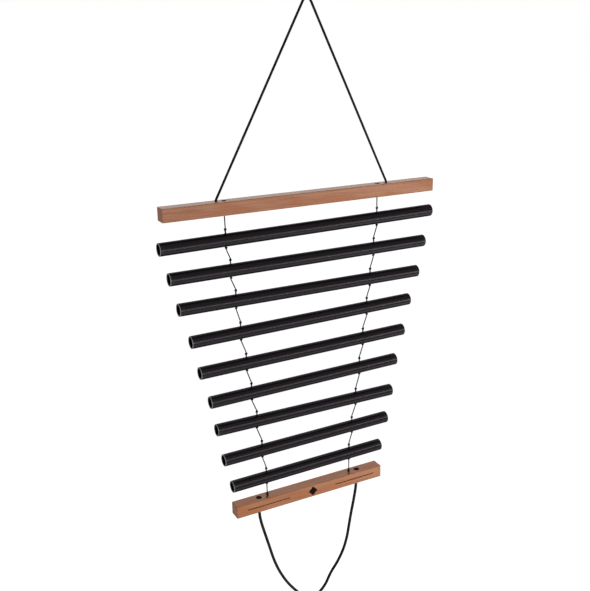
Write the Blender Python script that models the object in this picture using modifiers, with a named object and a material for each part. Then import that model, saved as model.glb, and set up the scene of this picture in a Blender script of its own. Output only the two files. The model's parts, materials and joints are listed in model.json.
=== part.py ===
"""Tube chimes.

Nine tuned metal tubes hang one below another on two knotted strings, between a
long wooden bar and a short one. A cord over a hook carries the long bar, and a
loop of thicker cord under the short bar is the handle that shakes the chimes.

Metres, +Z up, +X along the bars, the front towards -Y. The origin is the hook
point, on the underside of the hanging cord's bend, and everything hangs in the
plane y = 0.
"""

from math import ceil, cos, pi, radians, sin, sqrt
from typing import NamedTuple

import bmesh
import bpy
from mathutils import Matrix, Vector

PARTS = "tube_chimes"
CUTTERS = "tube_chimes_cutters"
SIDES = {"left": -1, "right": 1}
GAP = 0.0003                      # left between neighbours that touch

# Wooden bars
BAR_DEPTH = 0.017
BAR_EDGE = 0.0008                 # rounding of every edge
UPPER_BAR_LENGTH = 0.376
UPPER_BAR_HEIGHT = 0.0165
UPPER_BAR_TILT = -0.55            # degrees, positive with the right end up
UPPER_BAR_SHIFT = 0.0017          # the bar's middle, right of the strings' middle
LOWER_BAR_LENGTH = 0.2255
LOWER_BAR_HEIGHT = 0.0175
LOWER_BAR_TILT = -0.35

# How it hangs
HOOK_TO_BAR = 0.2235              # hook point down to the upper bar's top face
STRINGS_MIDDLE = -0.0079          # x of the strings' middle: the cord rides off centre
TUBE_TO_LOWER_BAR = 0.0286        # lowest tube's axis down to the lower bar's top face

# Tubes
TUBE_DIAMETER = 0.016
TUBE_WALL = 0.0014
TUBE_CHAMFER = 0.0003
TUBE_LIFT = 0.003                 # play of a tube below its upper knots
FIRST_DROP = 0.030                # upper bar's underside down to the first tube's axis
TUBES_SPAN = 0.3328               # from the first tube's axis down to the last one's

# Each tube from the top
TUBE_LENGTHS = (0.3820, 0.3625, 0.3440, 0.3185, 0.3005, 0.2775, 0.2645, 0.2495, 0.2295)
HOLE_INSETS = (0.0842, 0.0790, 0.0748, 0.0668, 0.0638, 0.0577, 0.0569, 0.0556, 0.0504)
TUBE_SLIPS = (0.0, -0.0024, -0.0013, -0.0004, 0.0012, 0.0005, 0.0013, 0.0014, 0.0)
TUBE_TILTS = (0.10, -0.40, -0.80, 0.10, 0.10, 0.20, -0.95, 0.10, 0.25)


class Chime(NamedTuple):
    """One tube."""

    length: float
    hole_inset: float             # from the tube's end to its string hole
    slip: float                   # how much further down its knots let it hang
    tilt: float                   # degrees


CHIMES = [
    Chime(*sizes) for sizes in zip(TUBE_LENGTHS, HOLE_INSETS, TUBE_SLIPS, TUBE_TILTS, strict=True)
]
TUBE_SPACING = TUBES_SPAN / (len(CHIMES) - 1)

# Strings along the tubes
DOUBLED_DIAMETER = 0.0016         # string and its tucked tail, under an upper knot
UPPER_KNOT_DIAMETER = 0.0030
UPPER_KNOT_HEIGHT = 0.0036
LOWER_KNOT_DIAMETER = 0.0030      # wider than the tube's hole, so it carries the tube
LOWER_KNOT_HEIGHT = 0.0024
STRING_PLAY_IN_TUBE = 0.00075     # around the string in the tube's holes
UPPER_STRING_SPAN = 0.2141        # between the upper bar's two string holes
LOWER_STRING_SPAN = 0.1282        # between the lower bar's


class Line(NamedTuple):
    """A cord or string, and how a bar holds its end: by a knot in a pocket."""

    diameter: float
    play: float                   # around it in its hole
    knot_diameter: float
    knot_height: float
    pocket_play: float            # around the knot
    recess: float                 # from the knot out to the pocket's mouth

    @property
    def radius(self):
        """Half the diameter."""
        return self.diameter / 2

    @property
    def clearance(self):
        """From a face that it leaves to the middle of its rounded end."""
        return GAP + self.radius

    @property
    def pocket_depth(self):
        """From the pocket's mouth to its floor."""
        return self.recess + self.knot_height + GAP


STRING = Line(
    diameter=0.0010, play=0.0005, knot_diameter=0.0036, knot_height=0.0030,
    pocket_play=0.0011, recess=0.0012,
)
HANGER = Line(
    diameter=0.0026, play=GAP, knot_diameter=0.0062, knot_height=0.0054,
    pocket_play=0.0006, recess=0.0011,
)
GRIP = Line(
    diameter=0.0036, play=GAP, knot_diameter=0.0064, knot_height=0.0056,
    pocket_play=0.0004, recess=0.0015,
)

# The two cords, as x and z from one end to the other
HANGER_OUTSIDE = 0.01155          # its holes, further out than the string holes
HANGER_RUN = 0.0078               # longest straight run
HANGER_ROUTE = (                  # from the hook point
    (-0.10330, -0.18130), (-0.08110, -0.14080), (-0.05900, -0.10030), (-0.03680, -0.05970),
    (-0.01470, -0.01920), (-0.00750, -0.00610), (-0.00508, -0.00170), (-0.00396, -0.00026),
    (-0.00245, 0.00076), (-0.00071, 0.00126), (0.00111, 0.00119), (0.00281, 0.00057),
    (0.00424, -0.00054), (0.00522, -0.00198), (0.00740, -0.00640), (0.01380, -0.01970),
    (0.03360, -0.06060), (0.05350, -0.10150), (0.07330, -0.14240), (0.09310, -0.18330),
)
GRIP_OUTSIDE = 0.0127
GRIP_RUN = 0.0072
GRIP_ROUTE = (                    # from the middle between its two ends
    (-0.0764, -0.0077), (-0.0744, -0.0196), (-0.0691, -0.0406), (-0.0635, -0.0618),
    (-0.0578, -0.0834), (-0.0496, -0.1062), (-0.0367, -0.1312), (-0.0229, -0.1506),
    (-0.0120, -0.1632), (-0.0005, -0.1700), (0.0110, -0.1683), (0.0236, -0.1573),
    (0.0336, -0.1401), (0.0458, -0.1237), (0.0552, -0.1064), (0.0612, -0.0879),
    (0.0648, -0.0688), (0.0683, -0.0498), (0.0722, -0.0311), (0.0756, -0.0123),
)

# Ornament engraved in the lower bar's front: a lozenge between two lines
ORNAMENT_SHIFT = 0.0017           # its middle, right of the bar's middle
LINE_START = 0.0353               # from the ornament's middle
LINE_LENGTH = 0.0637
LINE_WIDTH = 0.0008
LINE_DEPTH = 0.0005
LOZENGE_DIAGONAL = 0.0134
LOZENGE_DEPTH = 0.0004


class Finish(NamedTuple):
    """A surface, with its colour in linear values."""

    colour: tuple
    roughness: float
    metallic: float = 0.0


FINISHES = {
    "reddish_wood": Finish((0.392, 0.174, 0.122), 0.45),
    "orange_wood": Finish((0.479, 0.181, 0.089), 0.45),
    "black_anodised_metal": Finish((0.010, 0.009, 0.010), 0.35, 0.6),
    "black_cord": Finish((0.006, 0.006, 0.006), 0.8),
    "black_string": Finish((0.012, 0.012, 0.012), 0.7),
}

# Facets
TUBE_SIDES = 32
HOLE_SIDES = 16
HALF_BALL_STEPS = 4               # from its pole to its middle
KNOT_STEPS = 4                    # from its top to its bottom
OVERRUN = 0.002                   # how far a cutter stands out of what it cuts


class Axis:
    """An empty on a joint's axis, which carries one moving body.

    A hinge turns about its X axis, and a slide runs along its Z axis.
    """

    def __init__(self, name, world, parent=None):
        self.world = world
        self.empty = linked(name, None, PARTS)
        self.empty.empty_display_size = BAR_DEPTH
        if parent:
            parent.carry(self.empty, world)

    def carry(self, thing, world=None):
        """Parent a thing to this axis, at its place in the world."""
        thing.parent = self.empty
        thing.matrix_basis = self.world.inverted() @ (world or Matrix.Identity(4))


class Support(NamedTuple):
    """A bar or tube that the next pair of strings hangs from."""

    frame: Matrix                 # its X axis runs along the bar or tube
    holes: dict                   # x of the string hole on each side
    depth: float                  # down to where the strings leave it
    height: float                 # world z from which the next drop is measured

    def string_end(self, side):
        """The middle of the next string's rounded upper end."""
        return self.frame @ Vector((self.holes[side], 0.0, -self.depth - STRING.clearance))

    def swing(self):
        """The frame of the hinge through both upper ends."""
        middle = sum(self.holes.values()) / 2
        return shifted(self.frame, middle, -self.depth - STRING.clearance)


class Station(NamedTuple):
    """A point that a cord passes, and the cord's radius there."""

    place: Vector
    radius: float


def linked(name, data, group):
    """A new object in a collection."""
    thing = bpy.data.objects.new(name, data)
    bpy.data.collections[group].objects.link(thing)
    return thing


def finish(name):
    """The material of a finish, made when it is first asked for."""
    material = bpy.data.materials.get(name)
    if material is None:
        look = FINISHES[name]
        material = bpy.data.materials.new(name)
        material.use_nodes = True
        shader = material.node_tree.nodes["Principled BSDF"]
        shader.inputs["Base Color"].default_value = (*look.colour, 1.0)
        shader.inputs["Roughness"].default_value = look.roughness
        shader.inputs["Metallic"].default_value = look.metallic
    return material


def frame_at(x, z, tilt):
    """A frame in the hanging plane whose X axis rises by so many degrees."""
    return Matrix.Translation((x, 0.0, z)) @ Matrix.Rotation(-radians(tilt), 4, "Y")


def shifted(frame, x, z):
    """The frame moved along its own X and Z axes."""
    return frame @ Matrix.Translation((x, 0.0, z))


def upwards(frame):
    """The direction of a frame's Z axis."""
    return frame.to_3x3() @ Vector((0.0, 0.0, 1.0))


def spread(span, middle=0.0):
    """The x of two holes that are a span apart."""
    return {side: middle + sign * span / 2 for side, sign in SIDES.items()}


def mouths(frame, holes):
    """Frames at holes in a bar's top face, with Z pointing out of the bar."""
    return {side: shifted(frame, x, 0.0) for side, x in holes.items()}


def lower_mouths(frame, holes, height):
    """The same in its underside."""
    turned_over = Matrix.Diagonal((1.0, -1.0, -1.0, 1.0))
    return {side: shifted(frame, x, -height) @ turned_over for side, x in holes.items()}


def box(name, size, middle, group, turn=0.0):
    """A box of a size about a middle, turned about Y there."""
    shape = bmesh.new()
    bmesh.ops.create_cube(shape, size=1.0)
    bmesh.ops.scale(shape, vec=size, verts=shape.verts)
    bmesh.ops.rotate(shape, matrix=Matrix.Rotation(turn, 3, "Y"), verts=shape.verts)
    bmesh.ops.translate(shape, vec=middle, verts=shape.verts)
    mesh = bpy.data.meshes.new(name)
    shape.to_mesh(mesh)
    shape.free()
    return linked(name, mesh, group)


def turned(name, profile, sides, group, closed=False):
    """Turn (radius, height) points about Z, listed down the outer side first."""
    count = len(profile)
    edges = [(index, (index + 1) % count) for index in range(count if closed else count - 1)]
    mesh = bpy.data.meshes.new(name)
    mesh.from_pydata([(radius, 0.0, height) for radius, height in profile], edges, [])
    piece = linked(name, mesh, group)
    screw = piece.modifiers.new("Turn", "SCREW")
    screw.steps = sides
    screw.render_steps = sides
    screw.use_merge_vertices = not closed
    screw.merge_threshold = 0.000001
    return piece


def cutters_of(piece):
    """Give a piece one Boolean and name the collection that holds its cutters."""
    group = bpy.data.collections.new(f"{piece.name}_cutters")
    bpy.data.collections[CUTTERS].children.link(group)
    removal = piece.modifiers.new("Cuts", "BOOLEAN")
    removal.operation = "DIFFERENCE"
    removal.operand_type = "COLLECTION"
    removal.collection = group
    return group.name


def place_cutter(cutter, axis, world):
    """Put a cutter on the axis of the piece that it cuts."""
    cutter.display_type = "WIRE"
    cutter.hide_render = True
    axis.carry(cutter, world)


def shade(piece):
    """Shade round parts smooth and leave broad faces flat."""
    for face in piece.data.polygons:
        face.use_smooth = True
    piece.modifiers.new("Shading", "WEIGHTED_NORMAL")


def bar(name, length, height, look):
    """A bar with rounded edges, whose origin is the middle of its top face."""
    piece = box(name, (length, BAR_DEPTH, height), (0.0, 0.0, -height / 2), PARTS)
    piece.data.materials.append(finish(look))
    rounding = piece.modifiers.new("Rounded edges", "BEVEL")
    rounding.width = BAR_EDGE
    rounding.segments = 2
    return piece


def drill_bar(height, line, places, axis, group, what):
    """Cut a line's holes, which widen to a pocket in the face opposite their mouths."""
    shoulder = line.pocket_depth - height
    hole = line.radius + line.play
    pocket = line.knot_diameter / 2 + line.pocket_play
    far = -height - OVERRUN
    profile = (
        (0.0, OVERRUN), (hole, OVERRUN), (hole, shoulder),
        (pocket, shoulder), (pocket, far), (0.0, far),
    )
    for side, mouth in places.items():
        drill = turned(f"{what}_hole_{side}", profile, HOLE_SIDES, group)
        place_cutter(drill, axis, mouth)


def tube(name, length, look):
    """A hollow tube along Z with its outer rims broken."""
    outer = TUBE_DIAMETER / 2
    inner = outer - TUBE_WALL
    end = length / 2
    profile = (
        (outer - TUBE_CHAMFER, end),
        (outer, end - TUBE_CHAMFER),
        (outer, TUBE_CHAMFER - end),
        (outer - TUBE_CHAMFER, -end),
        (inner, -end),
        (inner, end),
    )
    piece = turned(name, profile, TUBE_SIDES, PARTS, closed=True)
    piece.data.materials.append(finish(look))
    return piece


def corded(name, stations, look, axis):
    """A cord or string as one closed tube through its stations, on its axis."""
    thickest = max(station.radius for station in stations)
    curve = bpy.data.curves.new(name, "CURVE")
    curve.dimensions = "3D"
    curve.bevel_depth = thickest
    curve.bevel_resolution = 2
    curve.use_fill_caps = True
    curve.materials.append(finish(look))
    spline = curve.splines.new("POLY")
    spline.points.add(len(stations) - 1)
    for point, station in zip(spline.points, stations):
        point.co = (*station.place, 1.0)
        point.radius = station.radius / thickest
    axis.carry(linked(name, curve, PARTS))


def round_end(middle, onward, radius):
    """Stations of a half ball, from near its pole to its middle."""
    stations = []
    for step in range(1, HALF_BALL_STEPS + 1):
        angle = pi / 2 * step / HALF_BALL_STEPS
        stations.append(Station(middle - onward * cos(angle) * radius, sin(angle) * radius))
    return stations


def knot(middle, up, diameter, height, neck_above, neck_below):
    """Stations of a knot, from its upper neck to its lower one."""
    stations = []
    for step in range(KNOT_STEPS + 1):
        angle = pi * step / KNOT_STEPS
        neck = neck_above if step < KNOT_STEPS / 2 else neck_below
        place = middle + up * cos(angle) * height / 2
        stations.append(Station(place, max(diameter / 2 * sin(angle), neck)))
    return stations


def end_in_bar(line, mouth, height):
    """Stations of a line's end in a bar, from its mouth to its knot in the pocket."""
    depth = height - line.pocket_depth + GAP + line.knot_height / 2
    middle = mouth @ Vector((0.0, 0.0, -depth))
    neck = line.radius
    bulge = knot(middle, upwards(mouth), line.knot_diameter, line.knot_height, neck, neck)
    return [Station(mouth.translation, neck), *bulge]


def string_down(start, foot, neck):
    """Stations from a string's upper end down to the neck of an upper knot, at the foot."""
    middle = foot @ Vector((0.0, 0.0, UPPER_KNOT_HEIGHT / 2))
    top = foot @ Vector((0.0, 0.0, UPPER_KNOT_HEIGHT))
    return [
        *round_end(start, (top - start).normalized(), STRING.radius),
        *knot(middle, upwards(foot), UPPER_KNOT_DIAMETER, UPPER_KNOT_HEIGHT, STRING.radius, neck),
    ]


def string_to_tube(start, hole):
    """Stations through an upper knot and a tube to the lower knot that carries it."""
    top = TUBE_DIAMETER / 2
    thin = STRING.radius
    thick = DOUBLED_DIAMETER / 2
    lower = hole @ Vector((0.0, 0.0, -top - GAP - LOWER_KNOT_HEIGHT / 2))
    return [
        *string_down(start, shifted(hole, 0.0, top + TUBE_LIFT + GAP), thick),
        Station(hole @ Vector((0.0, 0.0, top)), thick),
        Station(hole @ Vector((0.0, 0.0, top - TUBE_WALL / 2)), thin),
        *knot(lower, upwards(hole), LOWER_KNOT_DIAMETER, LOWER_KNOT_HEIGHT, thin, thin),
    ]


def string_to_bar(start, mouth):
    """Stations through an upper knot into the lower bar."""
    return [
        *string_down(start, shifted(mouth, 0.0, GAP), STRING.radius),
        *end_in_bar(STRING, mouth, LOWER_BAR_HEIGHT),
    ]


def curve_point(before, start, end, after, share):
    """A point of the centripetal Catmull-Rom curve between start and end."""
    points = (before, start, end, after)
    times = [0.0]
    for first, second in zip(points, points[1:]):
        times.append(times[-1] + sqrt((second - first).length))
    now = times[1] + share * (times[2] - times[1])

    def blend(first, second, low, high):
        return first.lerp(second, (now - times[low]) / (times[high] - times[low]))

    ab, bc, cd = (blend(points[i], points[i + 1], i, i + 1) for i in range(3))
    return blend(blend(ab, bc, 0, 2), blend(bc, cd, 1, 3), 1, 2)


def smooth_route(points, longest):
    """Points along a smooth curve through the given ones, none further apart than longest."""
    padded = [2 * points[0] - points[1], *points, 2 * points[-1] - points[-2]]
    route = []
    for before, start, end, after in zip(padded, padded[1:], padded[2:], padded[3:]):
        runs = ceil((end - start).length / longest)
        route += [curve_point(before, start, end, after, run / runs) for run in range(runs)]
    return route + [points[-1]]


def free_cord(name, line, ends, route, origin, longest, axis):
    """A cord between two rounded ends, along a route of x and z from an origin."""
    points = [ends["left"], *(origin + Vector((x, 0.0, z)) for x, z in route), ends["right"]]
    path = smooth_route(points, longest)
    start = round_end(path[0], (path[1] - path[0]).normalized(), line.radius)
    last = round_end(path[-1], (path[-2] - path[-1]).normalized(), line.radius)
    middle = [Station(place, line.radius) for place in path[1:-1]]
    corded(name, start + middle + last[::-1], "black_cord", axis)


def hang_upper_bar(hook):
    """The hanging cord, and the bar it carries by its two knots."""
    frame = frame_at(STRINGS_MIDDLE + UPPER_BAR_SHIFT, -HOOK_TO_BAR, UPPER_BAR_TILT)
    axis = Axis("upper_bar_axis", shifted(frame, 0.0, HANGER.clearance), hook)
    piece = bar("upper_bar", UPPER_BAR_LENGTH, UPPER_BAR_HEIGHT, "reddish_wood")
    axis.carry(piece, frame)

    cord_mouths = mouths(frame, spread(UPPER_STRING_SPAN + 2 * HANGER_OUTSIDE))
    string_holes = spread(UPPER_STRING_SPAN, -UPPER_BAR_SHIFT)
    string_mouths = lower_mouths(frame, string_holes, UPPER_BAR_HEIGHT)
    group = cutters_of(piece)
    drill_bar(UPPER_BAR_HEIGHT, HANGER, cord_mouths, axis, group, "upper_bar_cord")
    drill_bar(UPPER_BAR_HEIGHT, STRING, string_mouths, axis, group, "upper_bar_string")
    shade(piece)
    for side in SIDES:
        cord_end = end_in_bar(HANGER, cord_mouths[side], UPPER_BAR_HEIGHT)
        corded(f"hanger_knot_{side}", cord_end, "black_cord", axis)
        string_end = end_in_bar(STRING, string_mouths[side], UPPER_BAR_HEIGHT)
        corded(f"string_top_{side}", string_end, "black_string", axis)

    ends = {
        side: mouth @ Vector((0.0, 0.0, HANGER.clearance)) for side, mouth in cord_mouths.items()
    }
    free_cord("hanger_cord", HANGER, ends, HANGER_ROUTE, Vector(), HANGER_RUN, hook)
    underside = -HOOK_TO_BAR - UPPER_BAR_HEIGHT
    return axis, Support(frame, string_holes, UPPER_BAR_HEIGHT, underside)


def hang_chime(number, design, above, support):
    """A tube and the two strings from the support above it, with their knots."""
    axis = Axis(f"strings_{number}_axis", support.swing(), above)
    drop = TUBE_SPACING if number > 1 else FIRST_DROP
    height = support.height - drop - design.slip
    frame = frame_at(STRINGS_MIDDLE, height, design.tilt)
    holes = spread(design.length - 2 * design.hole_inset)

    lift = Axis(f"tube_{number}_axis", frame, axis)
    piece = tube(f"chime_tube_{number}", design.length, "black_anodised_metal")
    lift.carry(piece, frame @ Matrix.Rotation(pi / 2, 4, "Y"))
    group = cutters_of(piece)
    reach = TUBE_DIAMETER / 2 + OVERRUN
    radius = STRING.radius + STRING_PLAY_IN_TUBE
    profile = ((0.0, reach), (radius, reach), (radius, -reach), (0.0, -reach))
    for side, x in holes.items():
        hole = shifted(frame, x, 0.0)
        drill = turned(f"chime_tube_{number}_hole_{side}", profile, HOLE_SIDES, group)
        place_cutter(drill, lift, hole)
        stations = string_to_tube(support.string_end(side), hole)
        corded(f"string_{number}_{side}", stations, "black_string", axis)
    shade(piece)
    return axis, Support(frame, holes, TUBE_DIAMETER / 2 + GAP + LOWER_KNOT_HEIGHT, height)


def hang_lower_bar(above, support):
    """The lower bar on the last strings, with its ornament."""
    axis = Axis("lower_bar_axis", support.swing(), above)
    frame = frame_at(STRINGS_MIDDLE, support.height - TUBE_TO_LOWER_BAR, LOWER_BAR_TILT)
    piece = bar("lower_bar", LOWER_BAR_LENGTH, LOWER_BAR_HEIGHT, "orange_wood")
    axis.carry(piece, frame)

    string_mouths = mouths(frame, spread(LOWER_STRING_SPAN))
    cord_holes = spread(LOWER_STRING_SPAN + 2 * GRIP_OUTSIDE)
    cord_mouths = lower_mouths(frame, cord_holes, LOWER_BAR_HEIGHT)
    group = cutters_of(piece)
    drill_bar(LOWER_BAR_HEIGHT, STRING, string_mouths, axis, group, "lower_bar_string")
    drill_bar(LOWER_BAR_HEIGHT, GRIP, cord_mouths, axis, group, "lower_bar_cord")
    engrave(axis, frame, group)
    shade(piece)
    for side in SIDES:
        stations = string_to_bar(support.string_end(side), string_mouths[side])
        corded(f"string_{len(CHIMES) + 1}_{side}", stations, "black_string", axis)
        cord_end = end_in_bar(GRIP, cord_mouths[side], LOWER_BAR_HEIGHT)
        corded(f"grip_knot_{side}", cord_end, "black_cord", axis)
    return axis, frame, cord_mouths


def engrave(axis, frame, group):
    """Cut the two lines and the lozenge into the front of the lower bar."""
    front = -BAR_DEPTH / 2
    middle = -LOWER_BAR_HEIGHT / 2
    for side, sign in SIDES.items():
        across = ORNAMENT_SHIFT + sign * (LINE_START + LINE_LENGTH / 2)
        place = (across, front + (LINE_DEPTH - OVERRUN) / 2, middle)
        size = (LINE_LENGTH, LINE_DEPTH + OVERRUN, LINE_WIDTH)
        place_cutter(box(f"ornament_line_{side}", size, place, group), axis, frame)
    edge = LOZENGE_DIAGONAL / sqrt(2)
    place = (ORNAMENT_SHIFT, front + (LOZENGE_DEPTH - OVERRUN) / 2, middle)
    size = (edge, LOZENGE_DEPTH + OVERRUN, edge)
    place_cutter(box("ornament_lozenge", size, place, group, turn=pi / 4), axis, frame)


def hang_grip(above, frame, cord_mouths):
    """The loop of cord that hangs from the lower bar's two cord holes."""
    world = shifted(frame, 0.0, -LOWER_BAR_HEIGHT - GRIP.clearance)
    axis = Axis("grip_axis", world, above)
    ends = {
        side: mouth @ Vector((0.0, 0.0, GRIP.clearance)) for side, mouth in cord_mouths.items()
    }
    free_cord("grip_cord", GRIP, ends, GRIP_ROUTE, world.translation, GRIP_RUN, axis)


def main():
    """Build the chimes from the hook down."""
    for thing in list(bpy.data.objects):
        bpy.data.objects.remove(thing)
    for name in (PARTS, CUTTERS):
        bpy.context.scene.collection.children.link(bpy.data.collections.new(name))
    hook = Axis("hook", Matrix.Identity(4))
    axis, support = hang_upper_bar(hook)
    for number, design in enumerate(CHIMES, 1):
        axis, support = hang_chime(number, design, axis, support)
    hang_grip(*hang_lower_bar(axis, support))


if __name__ == "__main__":
    main()
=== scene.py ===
"""The looks of the tube chimes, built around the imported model.

Metres, +Z up, +X along the bars, the front towards -Y, the origin at the hook point.
The lamps and the world light at a plain level, so a colour shows about as it is written.
"""

import json
import logging
from collections.abc import Iterable, Mapping, Sequence
from dataclasses import dataclass, replace
from enum import Enum
from math import ceil, cos, pi, radians, sin, sqrt, tau
from typing import Any

import bmesh
import bpy
import numpy as np
from mathutils import Matrix, Vector

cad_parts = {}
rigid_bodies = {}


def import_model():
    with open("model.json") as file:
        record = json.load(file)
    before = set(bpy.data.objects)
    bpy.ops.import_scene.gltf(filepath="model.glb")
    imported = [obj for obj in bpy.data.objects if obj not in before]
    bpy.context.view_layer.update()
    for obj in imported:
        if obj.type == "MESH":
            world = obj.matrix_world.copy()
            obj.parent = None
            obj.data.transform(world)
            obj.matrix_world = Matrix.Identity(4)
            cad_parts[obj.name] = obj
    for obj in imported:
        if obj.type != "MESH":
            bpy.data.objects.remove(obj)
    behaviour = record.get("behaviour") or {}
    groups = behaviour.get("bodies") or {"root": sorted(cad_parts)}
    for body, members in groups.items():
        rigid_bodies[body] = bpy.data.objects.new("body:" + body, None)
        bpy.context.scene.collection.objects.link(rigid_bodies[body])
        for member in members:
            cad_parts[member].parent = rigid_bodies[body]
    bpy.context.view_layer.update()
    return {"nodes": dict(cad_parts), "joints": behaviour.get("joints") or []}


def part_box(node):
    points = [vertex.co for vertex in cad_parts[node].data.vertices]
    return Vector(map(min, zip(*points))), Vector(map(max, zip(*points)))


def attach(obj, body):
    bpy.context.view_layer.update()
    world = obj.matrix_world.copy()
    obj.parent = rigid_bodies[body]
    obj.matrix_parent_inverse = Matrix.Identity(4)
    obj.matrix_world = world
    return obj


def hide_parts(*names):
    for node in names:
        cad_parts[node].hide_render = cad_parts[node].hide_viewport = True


for leftover in list(bpy.data.objects):
    bpy.data.objects.remove(leftover)
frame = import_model()

log = logging.getLogger("tube_chimes")

Tree = bpy.types.NodeTree
Source = bpy.types.Node | bpy.types.NodeSocket
Piece = bpy.types.Object
Triple = tuple[float, float, float]
Stops = Sequence[tuple[float, float]]  # places on a colour ramp, and their grey levels

SIDES = {"left": -1, "right": 1}
MM = 0.001
BACK = Vector((0.0, 1.0, 0.0))
CORD_SIDES = 8  # points in each ring of the frame's cords and strings
GAP = 0.0003  # between a string and what it leaves
HINGE_DROP = GAP + 0.0005  # from a string's exit to the middle of its swing
OVERRUN = 0.002  # how far a cutter stands out of what it cuts
TUBE_COUNT = 9
UPPER_SIZE = (0.3760, 0.0170, 0.0165)
LOWER_SIZE = (0.2255, 0.0170, 0.0175)


# Materials


def linear(colour: str) -> tuple[float, float, float, float]:
    """Turn an sRGB hex colour into linear red, green, blue and alpha.

    Args:
        colour: The colour, as in "#a0b1c2".

    Returns:
        The linear values, with alpha 1.
    """
    shares = [int(colour[place:place + 2], 16) / 255 for place in (1, 3, 5)]
    return (*(s / 12.92 if s <= 0.04045 else ((s + 0.055) / 1.055) ** 2.4 for s in shares), 1.0)


def add_node(
    tree: Tree,
    kind: str,
    inputs: Mapping[str | int, Any] | None = None,
    stops: Stops = (),
    **settings: Any,
) -> bpy.types.Node:
    """Add a node with its settings, its input values and its links.

    Args:
        tree: The node tree.
        kind: The node's type, without the ShaderNode at its start.
        inputs: For each input its value, or the output or node to link to it. A node
            gives its first output.
        stops: For a colour ramp, its places and their grey levels.
        settings: The node's own properties.

    Returns:
        The new node.
    """
    node = tree.nodes.new(f"ShaderNode{kind}")
    for name, value in settings.items():
        setattr(node, name, value)
    for name, value in (inputs or {}).items():
        source = value.outputs[0] if isinstance(value, bpy.types.Node) else value
        if isinstance(source, bpy.types.NodeSocket):
            tree.links.new(source, node.inputs[name])
        else:
            node.inputs[name].default_value = source
    if stops:
        ramp = node.color_ramp.elements
        while len(ramp) < len(stops):
            ramp.new(1.0)
        for element, (place, level) in zip(ramp, stops):
            element.position = place
            element.color = (level, level, level, 1.0)
    return node


@dataclass(frozen=True)
class Tone:
    """A colour laid over another where a pattern is strong."""

    pattern: Source
    stops: Stops  # what the pattern's values turn into
    colour: str
    share: float | Source = 1.0  # of the colour, at the pattern's strongest


@dataclass(frozen=True)
class Finish:
    """A surface finish, kept as one material."""

    name: str

    def material(self) -> bpy.types.Material:
        """Give the finish's material, made when it is first asked for.

        Returns:
            The material.
        """
        made = bpy.data.materials.get(self.name)
        if made is None:
            made = bpy.data.materials.new(self.name)
            made.use_nodes = True
            made.node_tree.nodes.clear()
            surface = self.shade(made.node_tree)
            add_node(made.node_tree, "OutputMaterial", {"Surface": surface})
        return made

    def shade(self, tree: Tree) -> Source:
        """Make the finish's nodes in a tree, and give the shader to put on the surface."""
        raise NotImplementedError

    def grain(self, tree: Tree, cells: Triple, slant: float = 0.0, **noise: Any) -> bpy.types.Node:
        """Noise in the piece's own space.

        Args:
            tree: The node tree.
            cells: The size of the noise's cells along X, Y and Z, in millimetres.
            slant: How far the cells are turned about Y, in degrees.
            noise: Values for the noise node's inputs.

        Returns:
            The noise, about a middle of a half.
        """
        cell = add_node(tree, "Mapping", {
            "Vector": add_node(tree, "TexCoord").outputs["Object"],
            "Rotation": (0.0, radians(slant), 0.0),
            "Scale": [size * MM for size in cells],
        }, vector_type="TEXTURE")
        return add_node(tree, "TexNoise", {"Vector": cell, "Scale": 1.0, **noise})

    def laid_over(self, tree: Tree, base: str, *tones: Tone) -> Source:
        """Lay tones over a base colour, one after another.

        Args:
            tree: The node tree.
            base: The base colour, in hex.
            tones: The tones, from the lowest up.

        Returns:
            The colour that shows.
        """
        colour: Any = linear(base)
        for tone in tones:
            ramp = add_node(tree, "ValToRGB", {"Fac": tone.pattern}, tone.stops)
            share = add_node(tree, "Math", {0: ramp, 1: tone.share}, operation="MULTIPLY")
            inputs = {0: share, 6: colour, 7: linear(tone.colour)}
            colour = add_node(tree, "Mix", inputs, data_type="RGBA").outputs[2]
        return colour


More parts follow.
